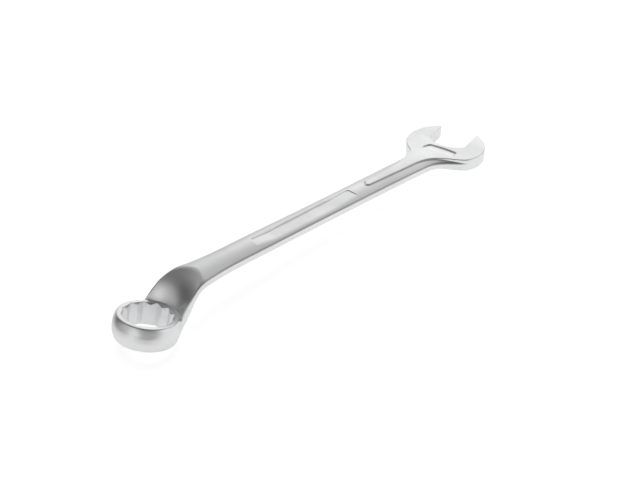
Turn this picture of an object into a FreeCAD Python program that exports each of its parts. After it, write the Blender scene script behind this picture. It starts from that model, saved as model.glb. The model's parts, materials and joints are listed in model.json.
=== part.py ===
import FreeCAD, Part
import Sketcher
import math
import os
import re

# One combination wrench: a single drop forging in chrome plated steel, with a deep offset
# 12-point ring at one end and an open jaw turned 15 degrees at the other.
#
# It is built in the frame of its shank: X runs along the shank from the ring to the jaw, Z is up
# and z = 0 is the middle plane of the shank and of the jaw. The finished forging is then tipped
# onto the surface it lies on, which its ring and both jaw tips touch, and that surface is z = 0.

NODE = "forged_wrench"

document = FreeCAD.newDocument("combination_wrench")
sheet = document.addObject("Spreadsheet::Sheet", "dims")

# Driving dimensions, in millimetres and degrees.
DIMENSIONS = [
    # nut size and places of the two ends
    ("across_flats", 30.0, "nut size of both ends"),
    ("clearance", 0.2, "how much wider than the nut both ends are"),
    ("end_spacing", 298.5, "ring centre to jaw centre, along the shank"),
    ("ring_drop", 20.2, "shank middle plane down to the ring centre"),
    ("ring_lean", 12.0, "angle between the ring axis and the shank normal"),
    ("jaw_turn", 15.0, "angle between the jaw opening and the shank"),
    # ring end
    ("ring_height", 16.5, "ring height along its axis"),
    ("ring_radius", 21.9, "largest outer radius, at half height"),
    ("ring_face_radius", 20.4, "outer radius of the two end faces"),
    ("ring_wall_height", 3.0, "height of the straight part of the ring wall"),
    ("ring_shoulder_bow", 0.38, "how far the rounding above and below that part bows out"),
    ("socket_corner_radius", 17.5, "radius to the twelve corners of the socket"),
    ("socket_lead_radius", 17.8, "radius of the lead-in at both faces"),
    # shank section: a crowned face, two soft sides
    ("near_width", 12.3, "shank's centre line to its side under the near jaw tip"),
    ("far_width", 10.3, "shank's centre line to its other side"),
    ("crown_height", 4.3, "middle plane to the top of the crowned face"),
    ("side_height", 2.4, "middle plane to the edge between face and side"),
    ("side_swell", 0.7, "how far each side bows out between its edges"),
    ("shank_start", 62.0, "where the crank has become the straight shank"),
    ("shank_overlap", 4.0, "how far the shank runs into the disc of the head"),
    # jaw end
    ("jaw_thickness", 9.5, "thickness of the jaw"),
    ("jaw_radius", 31.0, "radius of the jaw head"),
    ("jaw_depth", 25.8, "jaw centre to the tips, along the opening"),
    ("throat_depth", 5.0, "jaw centre to the bottom of the throat"),
    ("throat_corner", 1.0, "jaw centre to the inner ends of the flats"),
    ("far_flare", 15.0, "radius between the shank and the head, far side"),
    ("near_flare", 16.0, "radius between the shank and the head, near side"),
    ("jaw_edge_radius", 0.5, "rounding of the jaw's long edges"),
    # clearance scooped out of the crank for the nut and socket
    ("scoop_foot_radius", 20.6, "radius where the scoop meets the ring face"),
    ("scoop_bow", 2.7, "how far the scoop bows up out of a straight slope"),
    ("scoop_top_radius", 36.0, "radius of the scoop where it meets the shank face"),
    ("scoop_top_height", 24.4, "height of that edge above the ring face"),
    ("scoop_clear", 4.0, "how far the cut runs on out of the metal"),
    # long shallow panel, open towards one edge, on each face of the shank
    ("panel_start", 91.0, "ring end of the panel"),
    ("panel_end", 189.0, "jaw end of the panel"),
    ("panel_edge", 2.6, "offset of its wall from the centre line"),
    ("panel_floor", 3.3, "height of its floor above the middle plane"),
    ("panel_corner", 2.5, "corner radius of the panel"),
    # raised tongue that runs from the jaw head onto the shank, on each face
    ("tongue_start", 204.0, "ring end of the tongue"),
    ("tongue_half_width", 4.3, "half width of the tongue"),
    ("tongue_tip", 4.0, "how much further back its tip starts on the far side"),
    ("tongue_tip_bow", 1.2, "how far the slanting tip bows out"),
    ("tongue_near_end", 257.0, "where its near side starts to spread into the head"),
    ("tongue_far_end", 249.0, "where its far side starts to spread into the head"),
    ("tongue_spread_bow", 5.0, "how far each spreading edge bows in"),
    ("tongue_near_angle", 56.0, "where the near side meets the disc, from its rear"),
    ("tongue_far_angle", 51.0, "where the far side meets the disc, from its rear"),
    # relief behind the throat
    ("relief_edge", 10.7, "jaw centre to the step behind the throat"),
    ("relief_half_length", 12.5, "half length of that step"),
    ("relief_run", 8.0, "how far the relief runs out towards the shank"),
    ("relief_depth", 1.25, "depth of the relief at the step"),
    # how it lies
    ("rest_pitch", 5.17, "shank's slope down to the jaw when it lies on a table"),
    ("rest_roll", 1.39, "roll that brings both jaw tips onto the table"),
]
for row, (alias, value, note) in enumerate(DIMENSIONS, start=1):
    sheet.set("A%d" % row, note)
    sheet.set("B%d" % row, "%g" % value)
    sheet.setAlias("B%d" % row, alias)
document.recompute()
ALIASES = {alias for alias, value, note in DIMENSIONS}


def value_of(expression):
    """The number that an expression of sheet aliases comes to."""
    result = sheet.evalExpression(expression)
    return float(getattr(result, "Value", result))


def bound(expression):
    """The same expression, written for an object outside the sheet."""
    return re.sub(r"[a-z_]+", lambda word: ("dims." if word[0] in ALIASES else "") + word[0], expression)


body = document.addObject("PartDesign::Body", NODE)
body.Label = NODE


def origin_plane(role):
    return [feature for feature in body.Origin.OriginFeatures if feature.Role == role][0]


def sketch_on(role, name, offset=None):
    """A sketch on one of the body's own origin planes, moved and turned by offset."""
    sketch = body.newObject("Sketcher::SketchObject", name)
    sketch.AttachmentSupport = (origin_plane(role), [""])
    sketch.MapMode = "FlatFace"
    if offset is not None:
        sketch.AttachmentOffset = offset
    return sketch


def turn(axis, degrees):
    return FreeCAD.Rotation(FreeCAD.Vector(*axis), degrees)


def outline(sketch, corners):
    """Closes a profile of lines and arcs. A corner is (x, y, bow), bow being how far the side that
    starts there bows to the right of its direction of travel, and 0 for a straight side."""
    points = [FreeCAD.Vector(value_of(x), value_of(y), 0) for x, y, bow in corners]
    starts, ends = [], []
    for index, (x, y, bow) in enumerate(corners):
        following = (index + 1) % len(corners)
        start, end = points[index], points[following]
        height = value_of(bow)
        if abs(height) < 1e-9:
            side = sketch.addGeometry(Part.LineSegment(start, end))
            first, last = 1, 2
        else:
            chord = end - start
            outward = FreeCAD.Vector(chord.y, -chord.x, 0).normalize()
            middle = (start + end) * 0.5 + outward * height
            pair = (start, end) if height > 0 else (end, start)
            side = sketch.addGeometry(Part.Arc(pair[0], middle, pair[1]))
            first, last = (1, 2) if height > 0 else (2, 1)
            x2, y2 = corners[following][0], corners[following][1]
            radius = "(((%s)-(%s))^2+((%s)-(%s))^2)/(8*abs(%s))+abs(%s)/2" % (x2, x, y2, y, bow, bow)
            at = sketch.addConstraint(Sketcher.Constraint("Radius", side, value_of(radius)))
            sketch.setExpression("Constraints[%d]" % at, bound(radius))
        starts.append((side, first))
        ends.append((side, last))
    for index, (x, y, bow) in enumerate(corners):
        before = (index - 1) % len(corners)
        side, first = starts[index]
        sketch.addConstraint(Sketcher.Constraint("Coincident", *ends[before], side, first))
        for kind, text in (("DistanceX", x), ("DistanceY", y)):
            at = sketch.addConstraint(Sketcher.Constraint(kind, -1, 1, side, first, value_of(text)))
            sketch.setExpression("Constraints[%d]" % at, bound(text))


def shank_section(name, along, height, slope, near, far, bottom):
    """One closed section of the forging: crowned faces above and below, bowed sides between."""
    centre = FreeCAD.Vector(0, value_of(height), value_of(along))
    offset = FreeCAD.Placement(centre, turn((1, 0, 0), -slope))
    sketch = sketch_on("YZ_Plane", name, offset)
    sketch.setExpression("AttachmentOffset.Base.y", bound(height))
    sketch.setExpression("AttachmentOffset.Base.z", bound(along))
    near_edge, far_edge = "side_swell-%s" % near, "%s-side_swell" % far
    outline(sketch, [
        (near_edge, "-side_height", "%s-side_height" % bottom),
        (far_edge, "-side_height", "side_swell"),
        (far_edge, "side_height", "crown_height-side_height"),
        (near_edge, "side_height", "side_swell"),
    ])
    return sketch


# The crank and the shank: sections along the path from inside the ring wall to inside the jaw.
# along, height, slope, near width, far width, swell below. Near the ring the underside bellies
# out, because the crank wraps round the ring like a collar.
SHANK_SECTION = ("0", 0, "near_width", "far_width", "crown_height")
CRANK = [
    ("12.0", "-ring_drop-1.3", 50, "18.3", "18.3", "9.0"),
    ("18.8", "-13.8", 49, "17.7", "18.4", "8.5"),
    ("25.6", "-6.0", 44, "16.8", "16.9", "7.4"),
    ("31.5", "-2.0", 25, "16.0", "14.9", "6.2"),
    ("38.5", "-0.4", 9, "14.7", "13.0", "5.4"),
    ("48.0", "0", 0, "13.4", "11.3", "crown_height"),
    ("shank_start",) + SHANK_SECTION,
]
SHANK = [
    ("shank_start",) + SHANK_SECTION,
    ("end_spacing-jaw_radius+shank_overlap",) + SHANK_SECTION,
]


def loft(name, stations, straight):
    sections = [shank_section("%s_section_%d" % (name, index), *station)
                for index, station in enumerate(stations, start=1)]
    document.recompute()
    feature = body.newObject("PartDesign::AdditiveLoft", name)
    feature.Profile = sections[0]
    feature.Sections = sections[1:]
    feature.Ruled = straight
    document.recompute()
    return feature


loft("crank", CRANK, False)
loft("shank", SHANK, True)

# The ring: a barrel turned about the leaning ring axis.
RING_CENTRE = FreeCAD.Vector(0, -value_of("ring_drop"), 0)
RING_FRAME = FreeCAD.Placement(RING_CENTRE, turn((0, 0, 1), -value_of("ring_lean")))


def ring_sketch(name):
    """A half profile in the plane of the ring axis: x is the radius, y the height along the axis."""
    sketch = sketch_on("XZ_Plane", name, RING_FRAME)
    sketch.setExpression("AttachmentOffset.Base.y", bound("-ring_drop"))
    sketch.setExpression("AttachmentOffset.Rotation.Angle", "-" + bound("ring_lean") + " * 1 deg")
    return sketch


barrel = ring_sketch("barrel")
outline(barrel, [
    ("0", "-ring_height/2", "0"),
    ("ring_face_radius", "-ring_height/2", "ring_shoulder_bow"),
    ("ring_radius", "-ring_wall_height/2", "0"),
    ("ring_radius", "ring_wall_height/2", "ring_shoulder_bow"),
    ("ring_face_radius", "ring_height/2", "0"),
    ("0", "ring_height/2", "0"),
])
document.recompute()
ring = body.newObject("PartDesign::Revolution", "ring")
ring.Profile = barrel
ring.ReferenceAxis = (barrel, ["V_Axis"])
ring.Angle = 360
document.recompute()

# The jaw head. Its rim flares into the sides of the shank: each flare is an arc tangent to the
# side and to the disc of the head.
DISC_FRONT = "end_spacing+jaw_radius"
QUARTER_BOW = "jaw_radius*(1-sqrt(0.5))"


def flare(radius, width):
    """Where a flare leaves the shank's side, where it touches the disc, and how far it bows."""
    run = "sqrt((jaw_radius+%s)^2-(%s+%s)^2)" % (radius, width, radius)
    share = "jaw_radius/(jaw_radius+%s)" % radius
    start = "end_spacing-" + run
    touch = ("end_spacing-%s*%s" % (run, share), "(%s+%s)*%s" % (width, radius, share))
    return start, touch, sagitta(radius, (start, width), touch)


def sagitta(radius, start, end):
    """How far an arc of this radius, under half a turn, bows from the chord between two points."""
    chord = "((%s-(%s))^2+(%s-(%s))^2)" % (end[0], start[0], end[1], start[1])
    return "%s-sqrt(%s^2-%s/4)" % (radius, radius, chord)


def plate(name, corners, thickness):
    """A plate with this outline, centred on the middle plane of the shank."""
    sketch = sketch_on("XY_Plane", name + "_outline")
    outline(sketch, corners)
    document.recompute()
    pad = body.newObject("PartDesign::Pad", name)
    pad.Profile = sketch
    pad.Midplane = True
    pad.setExpression("Length", bound(thickness))
    document.recompute()
    return pad


far_start, far_touch, far_bow = flare("far_flare", "far_width")
near_start, near_touch, near_bow = flare("near_flare", "near_width")
rear = ("end_spacing", "jaw_radius")
plate("jaw_rim", [
    (near_start, "-near_width", "-(%s)" % near_bow),
    (near_touch[0], "-" + near_touch[1], sagitta("jaw_radius", near_touch, rear)),
    ("end_spacing", "-jaw_radius", QUARTER_BOW),
    (DISC_FRONT, "0", QUARTER_BOW),
    ("end_spacing", "jaw_radius", sagitta("jaw_radius", far_touch, rear)),
    (far_touch[0], far_touch[1], "-(%s)" % far_bow),
    (far_start, "far_width", "0"),
], "2*side_height")


def on_disc(angle):
    return "end_spacing-jaw_radius*cos(%s)" % angle, "jaw_radius*sin(%s)" % angle


# The thick part of the head, with the tongue that runs from it along the shank.
near_root, far_root = on_disc("tongue_near_angle"), on_disc("tongue_far_angle")
plate("jaw_face", [
    ("tongue_start", "-tongue_half_width", "0"),
    ("tongue_near_end", "-tongue_half_width", "-tongue_spread_bow"),
    (near_root[0], "-" + near_root[1], sagitta("jaw_radius", near_root, rear)),
    ("end_spacing", "-jaw_radius", QUARTER_BOW),
    (DISC_FRONT, "0", QUARTER_BOW),
    ("end_spacing", "jaw_radius", sagitta("jaw_radius", far_root, rear)),
    (far_root[0], far_root[1], "-tongue_spread_bow"),
    ("tongue_far_end", "tongue_half_width", "0"),
    ("tongue_start+tongue_tip", "tongue_half_width", "tongue_tip_bow"),
], "jaw_thickness")


def round_edges(name, radius, chosen):
    """Rounds the edges of the forging that chosen(edge) picks out."""
    picked = ["Edge%d" % number for number, edge in enumerate(body.Shape.Edges, start=1) if chosen(edge)]
    before = body.Tip
    feature = body.newObject("PartDesign::Fillet", name)
    feature.Base = (before, picked)
    feature.setExpression("Radius", bound(radius))
    document.recompute()
    return feature


def middle_of(edge):
    return edge.valueAt((edge.FirstParameter + edge.LastParameter) / 2)


def on_jaw_rim(edge):
    """An edge of the jaw plate's two faces that follows its disc."""
    point = middle_of(edge)
    reach = math.hypot(point.x - value_of("end_spacing"), point.y)
    level = abs(abs(point.z) - value_of("jaw_thickness/2")) < 0.01
    return level and abs(reach - value_of("jaw_radius")) < 0.01


round_edges("jaw_edges", "jaw_edge_radius", on_jaw_rim)


def cut(feature, sketch, upwards=False):
    """Finishes a cut, and checks that it takes something away."""
    before = body.Shape.Volume
    feature.Profile = sketch
    feature.Reversed = upwards
    document.recompute()
    if body.Shape.Volume > before - 1:
        raise ValueError("%s cuts nothing" % feature.Name)
    return feature


def pocket(name, sketch, depth, both_ways=False, upwards=False):
    feature = body.newObject("PartDesign::Pocket", name)
    feature.Midplane = both_ways
    feature.setExpression("Length", bound(depth))
    return cut(feature, sketch, upwards)


def groove(name, sketch):
    feature = body.newObject("PartDesign::Groove", name)
    feature.ReferenceAxis = (sketch, ["V_Axis"])
    feature.Angle = 360
    return cut(feature, sketch)


# The jaw opening: two parallel flats, a round throat, and tips cut square to the flats.
JAW_CENTRE = FreeCAD.Vector(value_of("end_spacing"), 0, 0)
JAW_FRAME = FreeCAD.Placement(JAW_CENTRE, turn((0, 0, 1), value_of("jaw_turn")))
FLAT = "(across_flats+clearance)/2"
opening = sketch_on("XY_Plane", "opening_outline", JAW_FRAME)
opening.setExpression("AttachmentOffset.Base.x", bound("end_spacing"))
outline(opening, [
    ("throat_corner", "-" + FLAT, "0"),
    ("jaw_depth", "-" + FLAT, "0"),
    ("jaw_depth", "-2*jaw_radius", "0"),
    ("2*jaw_radius", "-2*jaw_radius", "0"),
    ("2*jaw_radius", "2*jaw_radius", "0"),
    ("jaw_depth", "2*jaw_radius", "0"),
    ("jaw_depth", FLAT, "0"),
    ("throat_corner", FLAT, "throat_depth+throat_corner"),
])
pocket("jaw_opening", opening, "3*jaw_thickness", both_ways=True)

# The scoop in the crank, turned about the ring axis, that clears the nut and a socket on it.
scoop = ring_sketch("scoop_profile")
outline(scoop, [
    ("0", "ring_height/2", "0"),
    ("scoop_foot_radius", "ring_height/2", "-scoop_bow"),
    ("scoop_top_radius", "ring_height/2+scoop_top_height", "0"),
    ("scoop_top_radius+scoop_clear", "ring_height/2+scoop_top_height+scoop_clear", "0"),
    ("scoop_top_radius+scoop_clear", "ring_height/2+scoop_top_height+3*scoop_clear", "0"),
    ("0", "ring_height/2+scoop_top_height+3*scoop_clear", "0"),
])
groove("scoop", scoop)

# The 12-point socket, with a corner on the long axis of the wrench, and its two lead-ins.
SOCKET_CENTRE = FreeCAD.Vector(0, 0, -value_of("ring_drop"))
SOCKET_FRAME = FreeCAD.Placement(SOCKET_CENTRE, turn((0, 1, 0), value_of("ring_lean")))
socket = sketch_on("XY_Plane", "socket_outline", SOCKET_FRAME)
socket.setExpression("AttachmentOffset.Base.z", bound("-ring_drop"))
star = []
for point in range(24):
    radius = "socket_corner_radius" if point % 2 == 0 else "%s/cos(15)" % FLAT
    star.append(("%s*cos(%d)" % (radius, 15 * point), "%s*sin(%d)" % (radius, 15 * point), "0"))
outline(socket, star)
pocket("socket", socket, "2*ring_height", both_ways=True)
for face, sign in (("upper", 1), ("lower", -1)):
    lead = ring_sketch(face + "_lead_in_profile")
    corners = [
        ("0", "%d*(ring_height/2-socket_lead_radius)" % sign, "0"),
        ("socket_lead_radius+1", "%d*(ring_height/2+1)" % sign, "0"),
        ("0", "%d*(ring_height/2+1)" % sign, "0"),
    ]
    outline(lead, corners)
    groove(face + "_lead_in", lead)

# The same panel is sunk into both faces, the lower one turned half round about the shank's axis.
# Its floor is level, so it has a wall only where the crowned face stands above the floor.
for face, side in (("upper", 1), ("lower", -1)):
    floor = FreeCAD.Vector(0, 0, side * value_of("panel_floor"))
    facing = FreeCAD.Placement(floor, turn((1, 0, 0), 90 - side * 90))
    panel = sketch_on("XY_Plane", face + "_panel_outline", facing)
    panel.setExpression("AttachmentOffset.Base.z", bound("%d*panel_floor" % side))
    outline(panel, [
        ("panel_start", "-2*near_width", "0"),
        ("panel_end", "-2*near_width", "0"),
        ("panel_end", "panel_edge-panel_corner", "panel_corner*(1-sqrt(0.5))"),
        ("panel_end-panel_corner", "panel_edge", "0"),
        ("panel_start+panel_corner", "panel_edge", "panel_corner*(1-sqrt(0.5))"),
        ("panel_start", "panel_edge-panel_corner", "0"),
    ])
    pocket(face + "_panel", panel, "2*crown_height", upwards=True)

# The relief behind the throat: a wedge that is deepest at its step and runs out towards the shank.
# Its profile stands upright, in the plane through the middle of the jaw opening.
UPRIGHT = FreeCAD.Placement(FreeCAD.Vector(0, 0, 0), turn((1, 0, 0), 90))
for face, side in (("upper", 1), ("lower", -1)):
    relief = sketch_on("XY_Plane", face + "_relief_profile", JAW_FRAME.multiply(UPRIGHT))
    relief.setExpression("AttachmentOffset.Base.x", bound("end_spacing"))
    outline(relief, [
        ("-relief_edge", "%d*(jaw_thickness/2-relief_depth)" % side, "0"),
        ("-relief_edge", "%d*jaw_thickness" % side, "0"),
        ("-relief_edge-relief_run", "%d*jaw_thickness" % side, "0"),
        ("-relief_edge-relief_run", "%d*jaw_thickness/2" % side, "0"),
    ])
    pocket(face + "_relief", relief, "2*relief_half_length", both_ways=True)

# Tip the finished forging onto the surface it lies on, with the origin under the middle of its box.
tipped = turn((0, 1, 0), value_of("rest_pitch")).multiply(turn((1, 0, 0), -value_of("rest_roll")))
body.Placement = FreeCAD.Placement(FreeCAD.Vector(0, 0, 0), tipped)
document.recompute()
box = body.Shape.optimalBoundingBox(False)
body.Placement = FreeCAD.Placement(FreeCAD.Vector(-box.Center.x, -box.Center.y, -box.ZMin), tipped)
document.recompute()

for item in document.Objects:
    if "Invalid" in item.State or "Error" in item.State:
        raise ValueError("%s did not compute: %s" % (item.Name, item.State))
if body.Shape.isNull() or not body.Shape.isValid() or len(body.Shape.Solids) != 1:
    raise ValueError("the forging is not one valid solid")

os.makedirs("parts", exist_ok=True)
body.Shape.exportStep("parts/%s.step" % body.Label)
box = body.Shape.optimalBoundingBox(False)
print("%s: %.1f x %.1f x %.1f mm, %.1f cm3" % (
    body.Label, box.XLength, box.YLength, box.ZLength, body.Shape.Solids[0].Volume / 1000))
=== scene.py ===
import json
import math

import bmesh
import bpy
import numpy as np
from mathutils import Matrix, Vector


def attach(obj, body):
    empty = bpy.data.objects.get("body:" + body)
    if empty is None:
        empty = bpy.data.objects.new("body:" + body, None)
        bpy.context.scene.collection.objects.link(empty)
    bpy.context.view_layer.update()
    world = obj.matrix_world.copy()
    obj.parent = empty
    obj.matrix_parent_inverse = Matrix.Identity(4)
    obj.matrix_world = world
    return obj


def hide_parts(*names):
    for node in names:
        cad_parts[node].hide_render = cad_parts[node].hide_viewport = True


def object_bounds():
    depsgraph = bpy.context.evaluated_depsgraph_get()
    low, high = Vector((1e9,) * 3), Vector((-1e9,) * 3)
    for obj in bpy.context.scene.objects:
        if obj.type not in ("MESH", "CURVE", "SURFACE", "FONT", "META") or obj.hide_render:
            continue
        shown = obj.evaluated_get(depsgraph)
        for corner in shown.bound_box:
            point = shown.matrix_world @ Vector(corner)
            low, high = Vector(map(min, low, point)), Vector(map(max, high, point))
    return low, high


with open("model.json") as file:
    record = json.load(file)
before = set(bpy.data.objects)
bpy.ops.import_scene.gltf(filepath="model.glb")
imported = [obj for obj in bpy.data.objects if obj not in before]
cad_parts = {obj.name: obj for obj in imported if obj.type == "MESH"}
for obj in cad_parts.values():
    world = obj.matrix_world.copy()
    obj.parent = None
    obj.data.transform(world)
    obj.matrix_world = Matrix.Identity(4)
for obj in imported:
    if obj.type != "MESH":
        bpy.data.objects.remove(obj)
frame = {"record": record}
cad_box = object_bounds()

# One drop forging in satin chrome. Its skin is worked out in the forging's own frame, in
# millimetres: x runs along the shank from the ring end to the jaw, z = 0 is the middle plane of
# shank and jaw, and the ring hangs below that plane on its crank.

MM = 0.001

DEEP = 9.0            # a distance that keeps a field out of the way

# ring: a barrel about a leaning axis
RING_DROP = 20.2
RING_LEAN = math.radians(12)
RING_HALF = 8.25
WALL_HALF = 0.7
RING_RADIUS = 21.9
SHOULDER_RADIUS = 16.0
LEAD_RADIUS = 16.9
RING_EDGE = 0.6
SOCKET_REACH = 12     # the socket is cut within this height of the ring's middle
SOCKET_EDGE = 0.2

# both openings
HALF_FLATS = 15.1

# head, and the jaw in it
JAW_X = 298.5
JAW_TURN = math.radians(15)
JAW_RADIUS = 31.0
JAW_HALF = 4.75
JAW_DEPTH = 25.8
JAW_TIP_CORNER = 1.2
JAW_EDGE = 0.35
THROAT_CENTRE = 17.0
THROAT_RADIUS = 22.0
THROAT_CORNER = 1.5
HEAD_START = 248.0    # before this, the outline is the shank's own
NEAR_END = 291.0      # past this, the near side is the disc
FAR_HALF, FAR_FLARE = 10.2, 7.0
TAPER_START, TAPER_RUN, TIP_TAPER = 300, 20, 1.0

# crank: its middle line is a ramp, a bend, and then the level shank
CRANK_START, CRANK_END = 1, 60.0
CRANK_LIFT = 0.6      # its underside ends this far above the ring's lower face
CRANK_FILLET = 0.8
BEND_END = 40.5
BEND_RADIUS = 21.3
RAMP = math.radians(49)

# section: crowned faces, edges at this height, soft sides
SIDE = 2.4
CROWN = 4.3
SWELL = 0.45
LONG_EDGE = 1.2

# raised plate of the head and its tongue
TONGUE_TIP, TONGUE_WIDE = 204.0, 250
TONGUE_FAR = [2.6, 4.3]    # its far side, at the tip and where it is widest
TONGUE_MIDDLE = -1.5
PLATE_SWEEP = 10
PLATE_REACH = 11.3
PLATE_EDGE = 0.7
PLATE_FILLET = [1.3, 0.2]  # against the rim, at 268 and at 282 along
FAR_LINE_X, FAR_LINE_Y = 279.0, 24.1
FAR_LINE_TURN = math.radians(42)

# relief behind the throat: its wall runs across the head in a flat bow and hooks back at the end
RELIEF_BACK = 8.1
RELIEF_BOW, RELIEF_BOW_MIDDLE = 0.0065, 6.5
RELIEF_HOOK, RELIEF_HOOK_START, RELIEF_HOOK_POWER = 0.6, 9.3, 1.6
RELIEF_DEPTH, RELIEF_RUN = 0.95, 8
RELIEF_MIDDLE, RELIEF_HALF = -0.3, 13.1
RELIEF_CORNER, RELIEF_EDGE = 0.6, 0.2

# panels in the shank
PANEL_MIDDLE, PANEL_HALF = 140, 49
PANEL_WALL = [1.7, 3.1]    # where the wall stands at either end
PANEL_FLOOR = 3.3
RING_RISE, RING_RISE_END = 0.035, 107
JAW_RISE, JAW_RISE_START = 0.02, 165
PANEL_CORNER, PANEL_FOOT, PANEL_EDGE = 2.2, 0.25, 0.3

# scoop in the crank: part of a wide round groove about an upright line behind the ring's axis
SCOOP_RADIUS = 41.2
SCOOP_OUT = 60.1
SCOOP_UP = -0.3
SCOOP_BACK = 6.0
SCOOP_RIM = [0.4, 0.9]     # rounding of its rim, at 22 and at 34 along

# mesh: the corners of the box that is sampled, and its fineness
LOW_CORNER, HIGH_CORNER = (-24.0, -33.5, -34.0), (331.0, 34.0, 7.0)
STEP, QUICK_STEP = 0.43, 0.9
KEPT_SHARE = 0.55
WELD = 0.03


def spline(knots, values):
    """A natural cubic spline through these points, as a function of whole arrays. Its second
    differences solve one small linear system; past both ends it stays level."""
    knots, values = np.array(knots, float), np.array(values, float)
    gap, rise = np.diff(knots), np.diff(values)
    system = np.eye(len(knots))
    target = np.zeros(len(knots))
    for i in range(1, len(knots) - 1):
        system[i, i - 1:i + 2] = gap[i - 1], 2 * (gap[i - 1] + gap[i]), gap[i]
        target[i] = 6 * (rise[i] / gap[i] - rise[i - 1] / gap[i - 1])
    bend = np.linalg.solve(system, target)
    fine = np.arange(knots[0], knots[-1], 0.25)
    i = np.clip(np.searchsorted(knots, fine, "right") - 1, 0, len(gap) - 1)
    t = fine - knots[i]
    slope = rise[i] / gap[i] - gap[i] * (2 * bend[i] + bend[i + 1]) / 6
    curve = values[i] + t * slope + t**2 * bend[i] / 2 + t**3 * (bend[i + 1] - bend[i]) / (6 * gap[i])
    return lambda at: np.interp(at, fine, curve)


def meet(a, b, radius):
    """The part inside both fields, with the edge between them rounded off."""
    return (np.minimum(np.maximum(a, b) + radius, 0)
            + np.hypot(np.maximum(a + radius, 0), np.maximum(b + radius, 0)) - radius)


def join(a, b, radius):
    """The part inside either field, with the corner between them filled by a fillet."""
    return -meet(-a, -b, radius)


def soft_join(a, b, reach):
    """The part inside either field, with a long soft sweep between them."""
    share = np.clip(0.5 + 0.5 * (b - a) / reach, 0, 1)
    return b + (a - b) * share - reach * share * (1 - share)


# along the middle line: half width on the near and the far side, how deep the belly hangs under
# it, and how far down the near side stands upright
near_half = spline([0, 10, 15, 20, 26, 32, 40, 49, 62, 90, 130, 180, 230, 248, 271.5],
                   [15.6, 15.6, 15.7, 15.9, 15.8, 15.2, 14.3, 13.3, 12.4, 12.1, 12.0, 12.0, 12.3,
                    12.6, 12.9])
far_half = spline([0, 10, 15, 20, 25, 30, 35, 41, 48, 62, 90, 130, 180, 230, 248, 271.5],
                  [20.5, 19.5, 18.9, 18.0, 16.7, 15.2, 13.9, 12.4, 11.3, 10.4, 10.3, 9.9, 9.8,
                   10.1, 10.2, 10.2])
belly = spline([0, 13.7, 24.0, 31.2, 38.5, 48.0, 62.0, 90.0],
               [9.1, 8.5, 7.4, 6.2, 5.4, 4.5, 4.3, 4.3])
lower_side = spline([0, 12, 20, 30, 45], [5.6, 5.0, 3.9, 2.8, SIDE])


def unrolled(x, z):
    """Length along the middle line and height off it. The bend is an arc about a point under its
    end, so the turn at the nearest point is an angle about that point, held between 0 (level) and
    the ramp's slope."""
    turn = np.clip(np.arctan2(BEND_END - x, z + BEND_RADIUS), 0, RAMP)
    dx = x - BEND_END + BEND_RADIUS * np.sin(turn)
    dz = z + BEND_RADIUS * (1 - np.cos(turn))
    along = BEND_END - BEND_RADIUS * turn + dx * np.cos(turn) + dz * np.sin(turn)
    return along, dz * np.cos(turn) - dx * np.sin(turn)


def flare(x, y, half, radius):
    """Distance out from the side of the shank and from the disc of the head, with an arc tangent
    to both between them."""
    run = math.sqrt((JAW_RADIUS + radius)**2 - (half + radius)**2)
    dx, dy = x - (JAW_X - run), half + radius - y
    angle = np.arctan2(dx, dy)
    on_arc = (angle > 0) & (angle < math.atan2(run, half + radius))
    disc = np.hypot(x - JAW_X, y) - JAW_RADIUS
    side = np.maximum(y - half, x - JAW_X)
    return np.where(on_arc, radius - np.hypot(dx, dy), np.minimum(disc, side))


# near side of the head, seen from above: where the rim runs, and the raised plate above it
near_rim = spline([240, 248, 256, 262, 266, 269, 272, 275, 278, 281, 284, 287.2, 290, 293],
                  [12.3, 12.6, 12.9, 13.1, 13.6, 14.4, 15.6, 17.4, 19.9, 22.9, 25.8, 28.2, 29.75,
                   30.5])
near_plate = spline([204, 230, 252, 259, 265.7, 270.6, 275.1, 277.8, 280.9, 284, 287.2, 290, 293],
                    [3.1, 4.0, 4.7, 5.1, 6.6, 8.8, 12.5, 15.7, 20.2, 24.5, 27.9, 29.7, 30.5])


def beside(line, x, y):
    """Distance out to the side of a line y = line(x), by its offset and slope."""
    rise = line(x + 0.5) - line(x - 0.5)
    return (y - line(x)) / np.sqrt(1 + rise**2)


def outline(x, y, half):
    """Distance out from the forging's outline seen from above: the shank's own sides, and then the
    disc of the head, drawn in a little at the tips, with a flare on each side before it."""
    taper = TIP_TAPER * np.clip((x - TAPER_START) / TAPER_RUN, 0, 1)
    disc = np.hypot(x - JAW_X, y) - JAW_RADIUS + taper
    near = np.where(x < NEAR_END, beside(near_rim, x, -y), disc)
    head = np.where(y > 0, flare(x, y, FAR_HALF, FAR_FLARE), near)
    return np.where(x < HEAD_START, np.abs(y) - half, head)


def bar(x, y, z, scoop):
    """The crank, the shank and the thin rim of the head: faces that crown up from their long edges
    as a parabola, a belly that hangs deeper near the ring, and sides that bow out a little. Each
    field is divided by its own slope, so that it measures a distance."""
    along, height = unrolled(x, z)
    half = np.where(y > 0, far_half(along), near_half(along))
    out = outline(np.where(along < CRANK_END, along, x), y, half)
    edge = half - SWELL
    q = np.clip(1 + (out + SWELL) / edge, 0, 2)

    def face(up, top, foot):
        """Height above a parabola that falls from top at the middle line to foot at the edge."""
        rise = top - foot
        return (up - foot - rise * (1 - q**2)) / np.sqrt(1 + (2 * rise * q / edge)**2)

    rounding = np.interp(along, [22, 34], SCOOP_RIM)
    low = np.where(y > 0, SIDE, lower_side(along))
    upper = meet(face(height, CROWN, SIDE), scoop, rounding)
    faces = np.maximum(upper, face(-height, belly(along), low))
    foot = np.where(height > 0, SIDE, low)
    side = (out + SWELL * (height / foot)**2) / np.sqrt(1 + (2 * SWELL * height / foot**2)**2)
    return np.maximum(meet(faces, side, LONG_EDGE), CRANK_START - along)


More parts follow.
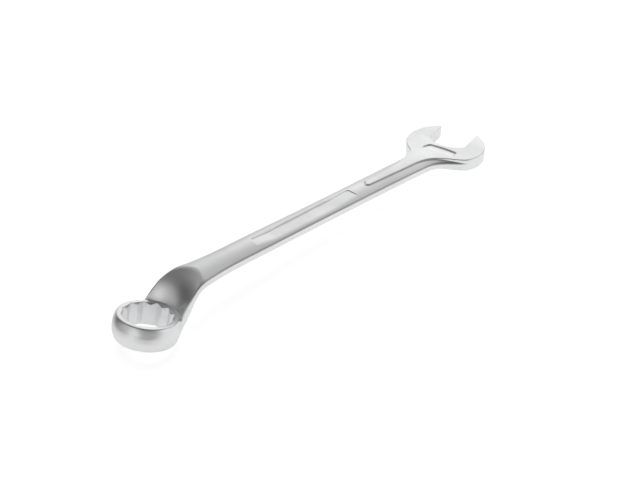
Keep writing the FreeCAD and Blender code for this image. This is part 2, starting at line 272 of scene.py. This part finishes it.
def face_plate(x, y, z):
    """The raised middle of the head with the tongue that runs from it along the shank. The tongue's
    sides sweep out into two slanting lines that end on the disc."""
    disc = np.hypot(x - JAW_X, y) - JAW_RADIUS
    near = np.where(x < NEAR_END, beside(near_plate, x, -y), disc)
    slant = (y - FAR_LINE_Y) * math.cos(FAR_LINE_TURN) - (x - FAR_LINE_X) * math.sin(FAR_LINE_TURN)
    far_side = np.interp(x, [TONGUE_TIP, TONGUE_WIDE], TONGUE_FAR)
    far = soft_join(y - far_side, slant, PLATE_SWEEP)
    tip = 0.8 * (TONGUE_TIP - x) + 0.6 * np.abs(y - TONGUE_MIDDLE)
    raised = meet(meet(near, far, 1.0), tip, 0.8)
    return meet(np.maximum(raised, outline(x, y, PLATE_REACH)), np.abs(z) - JAW_HALF, PLATE_EDGE)


def ring_place(x, y, z):
    """Radius about the ring axis, height along it from the middle of the ring, and the angle from
    the long axis of the wrench."""
    out = x * math.cos(RING_LEAN) - (z + RING_DROP) * math.sin(RING_LEAN)
    up = x * math.sin(RING_LEAN) + (z + RING_DROP) * math.cos(RING_LEAN)
    return np.hypot(out, y), up, np.arctan2(y, out)


def panel(x, y, z):
    """The panel sunk into a face: open towards the near edge, its wall a little off parallel, and
    its floor rising slightly towards both ends."""
    wall = y - np.interp(x, [PANEL_MIDDLE - PANEL_HALF, PANEL_MIDDLE + PANEL_HALF], PANEL_WALL)
    ends = np.abs(x - PANEL_MIDDLE) - PANEL_HALF
    floor = (PANEL_FLOOR + RING_RISE * np.maximum(RING_RISE_END - x, 0)
             + JAW_RISE * np.maximum(x - JAW_RISE_START, 0) - z)
    return meet(meet(wall, ends, PANEL_CORNER), floor, PANEL_FOOT)


def forging(x, y, z):
    """Below zero inside the metal. The barrel and the scooped crank join with a small fillet, the
    head's plate joins the bar, and then the openings and the shallow recesses are taken out."""
    radius, up, angle = ring_place(x, y, z)
    shoulder = np.hypot(radius - RING_RADIUS + SHOULDER_RADIUS, np.maximum(np.abs(up) - WALL_HALF, 0))
    barrel = meet(shoulder - SHOULDER_RADIUS, np.abs(up) - RING_HALF, RING_EDGE)
    behind = np.hypot(radius * np.cos(angle) + SCOOP_BACK, y) - SCOOP_BACK
    scoop = np.hypot(behind - SCOOP_OUT, up - SCOOP_UP) - SCOOP_RADIUS
    crank = bar(x, y, z, np.where(x < CRANK_END, scoop, -DEEP))
    crank = np.maximum(crank, -RING_HALF + CRANK_LIFT - up)
    metal = join(crank, barrel, CRANK_FILLET)
    metal = join(metal, face_plate(x, y, z), np.interp(x, [268, 282], PLATE_FILLET))

    # 12-point socket: in a sector of 15 degrees beside a corner, the flat of one hexagon
    turn = np.abs((angle + math.pi / 12) % (math.pi / 6) - math.pi / 12)
    flat = np.maximum(radius * np.cos(math.pi / 6 - turn), radius * np.cos(math.pi / 6 + turn))
    socket = np.minimum(flat, radius * np.cos(turn)) - HALF_FLATS
    lead = (radius - LEAD_RADIUS - np.minimum(np.abs(up) - RING_HALF, 0)) / math.sqrt(2)
    bore = np.where(np.abs(up) < SOCKET_REACH, join(socket, lead, SOCKET_EDGE), DEEP)
    metal = np.where(x < CRANK_END, meet(metal, -bore, SOCKET_EDGE), metal)

    # jaw opening, and the tips cut square to its flats
    u = (x - JAW_X) * math.cos(JAW_TURN) + y * math.sin(JAW_TURN)
    v = y * math.cos(JAW_TURN) - (x - JAW_X) * math.sin(JAW_TURN)
    throat = np.hypot(np.minimum(u - THROAT_CENTRE, 0), v) - THROAT_RADIUS
    gap = meet(np.abs(v) - HALF_FLATS, throat, THROAT_CORNER)
    metal = meet(metal, -gap, JAW_EDGE)
    metal = meet(metal, u - JAW_DEPTH, JAW_TIP_CORNER)

    # relief behind the throat, and the panels, on both faces
    hook = RELIEF_HOOK * np.maximum(v - RELIEF_HOOK_START, 0)**RELIEF_HOOK_POWER
    back = u + RELIEF_BACK + RELIEF_BOW * (v - RELIEF_BOW_MIDDLE)**2 + hook
    wedge = JAW_HALF - RELIEF_DEPTH * (1 + back / RELIEF_RUN) - np.abs(z)
    ends = np.abs(v - RELIEF_MIDDLE) - RELIEF_HALF
    relief = meet(meet(wedge, back, RELIEF_EDGE), ends, RELIEF_CORNER)
    metal = meet(metal, -relief, RELIEF_EDGE)
    for side in (1, -1):
        metal = meet(metal, -panel(x, side * y, side * z), PANEL_EDGE)
    return metal


def gradient(field, points, reach=0.02):
    """Slope of the field, from its values a little to both sides along each axis."""
    steps = np.eye(3)[:, :, None] * reach
    return np.array([field(*(points + s)) - field(*(points - s)) for s in steps]) / (2 * reach)


def skin(field, low, high, step):
    """A closed surface where the field is zero. The field is sampled on a cubic grid, and only in
    blocks that lie near the surface. Each cell that the surface crosses gets one point, the mean of
    the crossings on its edges; each crossed edge gets one face, between the four cells round it.
    The points are then slid down the field's slope until they lie on the surface."""
    block, margin = 4, 0.6
    counts = [int(math.ceil((b - a) / step / block)) for a, b in zip(low, high)]
    centres = [a + step * (np.arange(n) * block + (block - 1) / 2) for a, n in zip(low, counts)]
    coarse = field(*np.meshgrid(*centres, indexing="ij"))
    value = coarse.astype(np.float32)
    close = np.abs(coarse) < 3.2 * step * block / 2 + margin
    for axis in range(3):
        value, close = value.repeat(block, axis), close.repeat(block, axis)
    at = np.nonzero(close)
    value[at] = field(*[a + step * i for a, i in zip(low, at)])
    inside = value < 0

    def shifted(array, axis, start, stop):
        """The array cut along one axis from start to stop, and whole along the others."""
        index = [slice(None)] * 3
        index[axis] = slice(start, stop)
        return array[tuple(index)]

    mixed = np.zeros([n - 1 for n in value.shape], bool)
    whole = np.ones(mixed.shape, bool)
    for i, j, k in np.ndindex(2, 2, 2):
        corner = inside[i:i + mixed.shape[0], j:j + mixed.shape[1], k:k + mixed.shape[2]]
        mixed |= corner
        whole &= corner
    number = np.full(mixed.shape, -1, np.int64)
    cells = mixed & ~whole
    number[cells] = np.arange(cells.sum())
    total, sums, hits, quads = int(cells.sum()), 0.0, 0.0, []
    for axis in range(3):
        first, second = shifted(inside, axis, 0, -1), shifted(inside, axis, 1, None)
        edge = np.array(np.nonzero(first != second))
        inner = np.all([(edge[a] > 0) & (edge[a] < mixed.shape[a])
                        for a in range(3) if a != axis], axis=0)
        edge = edge[:, inner]
        following = edge.copy()
        following[axis] += 1
        f0, f1 = value[tuple(edge)], value[tuple(following)]
        point = edge.astype(float)
        point[axis] += f0 / (f0 - f1)
        b, c = (axis + 1) % 3, (axis + 2) % 3
        ring = []
        for db, dc in ((-1, -1), (0, -1), (0, 0), (-1, 0)):
            cell = edge.copy()
            cell[b] += db
            cell[c] += dc
            ring.append(number[tuple(cell)])
        ring = np.array(ring)
        for corner in ring:
            sums = sums + np.array([np.bincount(corner, p, total) for p in point])
            hits = hits + np.bincount(corner, minlength=total)
        outward = f0 < 0
        quads.append(np.where(outward, ring, ring[::-1]).T)
    points = sums / hits * step + np.array(low)[:, None]
    for _ in range(3):
        slope = gradient(field, points)
        points = points - slope * np.clip(field(*points) / (slope**2).sum(0), -step, step)
    return points, np.concatenate(quads)


# The forging's frame in the row frame: the socket's centre and axis fix it, and the jaw's lower
# face gives the direction of the middle plane.
mounts = {mount["name"]: mount for mount in frame["record"]["mounts"]}
plane_up = -Vector(mounts["jaw_face_lower"]["axis"]).normalized()
socket_axis = Vector(mounts["ring_socket"]["axis"]).normalized()
sideways = plane_up.cross(socket_axis).normalized()
turned = Matrix((sideways.cross(plane_up), sideways, plane_up)).transposed()
ring_centre = Vector(mounts["ring_socket"]["pos_m"])
PLACE = Matrix.Translation(ring_centre) @ turned.to_4x4() @ Matrix.Translation((0, 0, RING_DROP * MM))


def placed(points):
    """Points of the forging's frame, in millimetres, put into the row frame in metres."""
    return (np.array(PLACE.to_3x3()) @ points * MM).T + np.array(PLACE.translation)


def add_mesh(name, points, faces):
    """An object at the origin with these points, in metres, and these faces."""
    mesh = bpy.data.meshes.new(name)
    mesh.from_pydata(points.tolist(), [], faces.tolist())
    mesh.update()
    made = bpy.data.objects.new(name, mesh)
    bpy.context.scene.collection.objects.link(made)
    return made


def thinned(piece, share):
    """Collapses the flattest edges until this share of the triangles is left."""
    modifier = piece.modifiers.new("thin", "DECIMATE")
    modifier.ratio = share
    bpy.context.view_layer.update()
    evaluated = piece.evaluated_get(bpy.context.evaluated_depsgraph_get())
    done = bpy.data.meshes.new_from_object(evaluated)
    piece.modifiers.clear()
    piece.data = done


def welded(piece, reach):
    """Makes points that lie closer together than this one point, so no edge has four faces."""
    work = bmesh.new()
    work.from_mesh(piece.data)
    bmesh.ops.remove_doubles(work, verts=work.verts, dist=reach)
    work.to_mesh(piece.data)
    work.free()


def shaded(piece, field):
    """Gives the piece smooth shading whose normals are the slope of its field, turned into the row
    frame."""
    piece.data.shade_smooth()
    points = np.empty(len(piece.data.vertices) * 3)
    piece.data.vertices.foreach_get("co", points)
    turn_back = np.array(PLACE.to_3x3()).T
    points = turn_back @ (points.reshape(-1, 3).T - np.array(PLACE.translation)[:, None]) / MM
    slope = gradient(field, points, 0.05)
    slope = turn_back.T @ (slope / np.sqrt((slope**2).sum(0)))
    piece.data.normals_split_custom_set_from_vertices(slope.T.tolist())


# ---------------------------------------------------------------- the forging
points, faces = skin(forging, LOW_CORNER, HIGH_CORNER, STEP)
wrench = add_mesh("satin_wrench", placed(points), faces)
thinned(wrench, KEPT_SHARE)
welded(wrench, WELD * MM)
shaded(wrench, forging)
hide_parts("forged_wrench")
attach(wrench, "root")


# ---------------------------------------------------------------- materials
class Socket:
    """A shader socket that takes part in Python arithmetic."""

    def __init__(self, shader, socket):
        self.shader, self.socket = shader, socket

    def math(self, operation, other=None, swap=False):
        """A Math node on this socket, or on this one and another, which swap puts first."""
        values = [self] if other is None else [other, self] if swap else [self, other]
        return self.shader.node("ShaderNodeMath", {"operation": operation}, dict(enumerate(values)))

    def __add__(self, other): return self.math("ADD", other)
    def __radd__(self, other): return self.math("ADD", other, True)
    def __sub__(self, other): return self.math("SUBTRACT", other)
    def __rsub__(self, other): return self.math("SUBTRACT", other, True)
    def __mul__(self, other): return self.math("MULTIPLY", other)
    def __rmul__(self, other): return self.math("MULTIPLY", other, True)
    def __truediv__(self, other): return self.math("DIVIDE", other)
    def __pow__(self, other): return self.math("POWER", other)


class Shader:
    """A node tree that is written as Python expressions."""

    def __init__(self, tree):
        self.tree = tree
        tree.nodes.clear()

    def node(self, kind, settings=None, inputs=None, output=0):
        """Any node: its settings first, then its sockets, by link or by value."""
        made = self.tree.nodes.new(kind)
        for name, value in (settings or {}).items():
            setattr(made, name, value)
        for name, value in (inputs or {}).items():
            if isinstance(value, Socket):
                self.tree.links.new(value.socket, made.inputs[name])
            else:
                made.inputs[name].default_value = value
        return Socket(self, made.outputs[output]) if made.outputs else None

    def between(self, value, low, high):
        """0 below low, 1 above high, smooth between them."""
        return self.node("ShaderNodeMapRange", {"interpolation_type": "SMOOTHSTEP"},
                         {"Value": value, "From Min": low, "From Max": high})

    def grey(self, value):
        """A colour with this value in all three channels."""
        return self.node("ShaderNodeCombineColor", inputs={
            "Red": value, "Green": value, "Blue": value})


def new_material(name):
    """A new material and the shader that writes its nodes."""
    material = bpy.data.materials.new(name)
    material.use_nodes = True
    return material, Shader(material.node_tree)


# satin chrome: fine grain, cloudy roughness, faint scuffs, and a duller tone where it is handled
chrome, finish = new_material("satin_chrome")
position = finish.node("ShaderNodeTexCoord", output="Object")


def noise(scale, detail, roughness=0.5, at=position):
    """A noise over the piece, whose values lie round a half."""
    return finish.node("ShaderNodeTexNoise", inputs={
        "Vector": at, "Scale": scale, "Detail": detail, "Roughness": roughness})


cloud = noise(60.0, 3.0)
handled = noise(22.0, 5.0, 0.65)
grain = noise(2600.0, 2.0)


def scratches(turn, seed):
    """Thin straight marks: the crests of a noise that is drawn out along one direction."""
    drawn = finish.node("ShaderNodeMapping", inputs={
        "Vector": position, "Location": (seed, 0, 0), "Rotation": (0.3, 0, turn),
        "Scale": (18, 700, 700)})
    return finish.between(noise(1.0, 1.0, at=drawn), 0.7, 0.76)


scuffed = (scratches(0.25, 3.0) + scratches(-0.6, 8.0)) * finish.between(handled, 0.47, 0.6)
bump = finish.node("ShaderNodeBump", inputs={
    "Strength": 0.14, "Distance": 0.0001, "Height": grain - 0.5 * scuffed})
tone = 0.865 - 0.05 * finish.between(handled, 0.4, 0.75)
plating = finish.node("ShaderNodeCombineColor", inputs={
    "Red": tone, "Green": tone + 0.003, "Blue": tone + 0.01})
satin = 0.24 + 0.1 * cloud + 0.06 * finish.between(handled, 0.35, 0.7) + 0.08 * scuffed
surface = finish.node("ShaderNodeBsdfPrincipled", inputs={
    "Base Color": plating, "Metallic": 1.0, "Roughness": satin, "Normal": bump})
finish.node("ShaderNodeOutputMaterial", inputs={"Surface": surface})
wrench.data.materials.clear()
wrench.data.materials.append(chrome)


# ---------------------------------------------------------------- floor
FLOOR_HALF, FLOOR_GAP = 30, 0.0002    # in metres
corners = FLOOR_HALF * np.array([[-1.0, -1, 0], [1, -1, 0], [1, 1, 0], [-1, 1, 0]])
floor = add_mesh("floor", corners, np.array([[0, 1, 2, 3]]))
floor.location.z = cad_box[0][2] - FLOOR_GAP

# White where it is seen. In the metal's reflections a painted pool of light glows round the wrench,
# and painted shade darkens the rest to the sides: soon and wholly at the ring's end, further out and
# by half at the jaw's.
paper, sheet = new_material("pale_paper")
on_floor = sheet.node("ShaderNodeTexCoord", output="Object")
floor_x = sheet.node("ShaderNodeSeparateXYZ", inputs={"Vector": on_floor}, output=0)
aside = sheet.node("ShaderNodeSeparateXYZ", inputs={"Vector": on_floor}, output=1).math("ABSOLUTE")
# painted shade: in reflections the floor is painted darker beside the ring and beside the jaw
painted_dark_beside_ring = sheet.between(aside, 0.03, 0.14) * sheet.between(-1 * floor_x, 0.1, 0.25)
painted_dark_beside_jaw = sheet.between(aside, 0.1, 0.25) * sheet.between(floor_x, 0.0, 0.1)
painted_pool = (1 - painted_dark_beside_ring) * (1 - 0.5 * painted_dark_beside_jaw)
seen = sheet.node("ShaderNodeLightPath", output="Is Camera Ray")
mirrored = sheet.node("ShaderNodeLightPath", output="Is Glossy Ray")
# its colour is painted darker in reflections outside the pool: painted shade
diffuse_painted_dark_aside = sheet.node("ShaderNodeBsdfDiffuse", inputs={
    "Color": sheet.grey(0.9 - 0.65 * mirrored * (1 - painted_pool))})
# painted pool of light: in the metal's reflections the floor glows round the wrench, a little more
# towards the jaw
painted_pool_strength = 0.33 + 0.04 * sheet.between(floor_x, -0.08, 0.12)
white_and_painted_glow = sheet.node("ShaderNodeEmission", inputs={
    "Color": (1, 1, 1, 1), "Strength": 0.6 * seen + mirrored * (0.08 + painted_pool_strength * painted_pool)})
both = sheet.node("ShaderNodeAddShader", inputs={0: diffuse_painted_dark_aside, 1: white_and_painted_glow})
sheet.node("ShaderNodeOutputMaterial", inputs={"Surface": both})
floor.data.materials.append(paper)


# ---------------------------------------------------------------- studio
world = bpy.data.worlds.new("studio")
bpy.context.scene.world = world
world.use_nodes = True
studio = Shader(world.node_tree)
direction = studio.node("ShaderNodeTexCoord", output="Generated")


def toward(azimuth, elevation):
    """Cosine of the angle between a ray and this direction, in degrees about the object."""
    a, e = math.radians(azimuth), math.radians(elevation)
    aim = (math.cos(e) * math.cos(a), math.cos(e) * math.sin(a), math.sin(e))
    return studio.node("ShaderNodeVectorMath", {"operation": "DOT_PRODUCT"},
                       {0: direction, 1: aim}, output="Value")


# sine of a ray's height over the horizon, and its level part, kept a little above nought
height = toward(0, 90)
level_part = (1.0 - height * height + 0.0001) ** 0.5


def facing(azimuth):
    """Cosine of the angle between a ray and this azimuth, seen from above."""
    return toward(azimuth, 0) / level_part


# The room that the metal mirrors: bright on its right and again low on its left, with a dark band
# that leans between them, and dark overhead. Four soft gaps dim single directions. The camera's
# own rays see plain white.
rightward = toward(-12, 34)
past_band = studio.between(rightward, -0.25, 0.18)
bright_side = studio.between(rightward, 0.3, 0.75)
left_light = studio.between(-1 * toward(15, 30), 0.12, 0.36)
right_gap = studio.between(facing(-45), 0.6, 0.9) * studio.between(height, 0.25, 0.5)
front_gap = studio.between(facing(238), 0.75, 0.97) * studio.between(height, -0.05, 0.1)
left_gap = studio.between(facing(148), 0.8, 0.97) * (1 - studio.between(height, 0.35, 0.55))
end_gap = studio.between(facing(-10), 0.85, 0.97) * (1 - studio.between(height, 0.3, 0.5))
top = studio.node("ShaderNodeMapRange", inputs={
    "Value": height, "From Min": 0.37, "From Max": 1.06})
bright = bright_side * (0.69 - 0.36 * studio.between(height, 0.38, 0.55))
level = 0.07 + 0.5 * past_band + bright
level = level + (1 - level) * left_light
level = level * (1 - 0.5 * left_gap) * (1 - 0.5 * right_gap) * (1 - 0.6 * front_gap)
level = level * (1 - 0.9 * top) * (1 - 0.55 * end_gap)
camera_ray = studio.node("ShaderNodeLightPath", output="Is Camera Ray")
backdrop = studio.node("ShaderNodeBackground", inputs={
    "Color": (1, 1, 1, 1), "Strength": level * (1 - camera_ray) + camera_ray})
studio.node("ShaderNodeOutputWorld", inputs={"Surface": backdrop})


def add_softbox(name, place, target, size, power):
    """A rectangular lamp at one place that points at another."""
    lamp = bpy.data.lights.new(name, "AREA")
    lamp.shape, lamp.size, lamp.size_y, lamp.energy = "RECTANGLE", size[0], size[1], power
    made = bpy.data.objects.new(name, lamp)
    made.location = place
    aim = Vector(target) - Vector(place)
    made.rotation_euler = aim.to_track_quat("-Z", "Y").to_euler()
    bpy.context.scene.collection.objects.link(made)
    return made


overhead = add_softbox("overhead", (0.1, 0.3, 1.6), (0, 0, 0), (1.2, 1.2), 6)
overhead.visible_glossy = False


# ---------------------------------------------------------------- camera
# The camera is fixed in the forging's frame: its place, where it looks, and its roll.
CAMERA_PLACE = Vector((-366.785, -491.945, 426.411))
YAW, PITCH, ROLL = 0.7528, -0.5595, -0.0326
eye = bpy.data.cameras.new("camera")
eye.lens, eye.sensor_width = 66.41, 36.0
camera = bpy.data.objects.new("camera", eye)
forward = Vector((math.cos(PITCH) * math.cos(YAW), math.cos(PITCH) * math.sin(YAW), math.sin(PITCH)))
right = Vector((math.sin(YAW), -math.cos(YAW), 0))
down = forward.cross(right)
right, down = (math.cos(ROLL) * right + math.sin(ROLL) * down,
               math.cos(ROLL) * down - math.sin(ROLL) * right)
looks = PLACE.to_3x3() @ Matrix((right, -down, -forward)).transposed()
stand = PLACE @ (CAMERA_PLACE * MM)
camera.matrix_world = Matrix.Translation(stand) @ looks.to_4x4()
bpy.context.scene.collection.objects.link(camera)
bpy.context.scene.camera = camera
bpy.context.scene.view_settings.view_transform = "Standard"
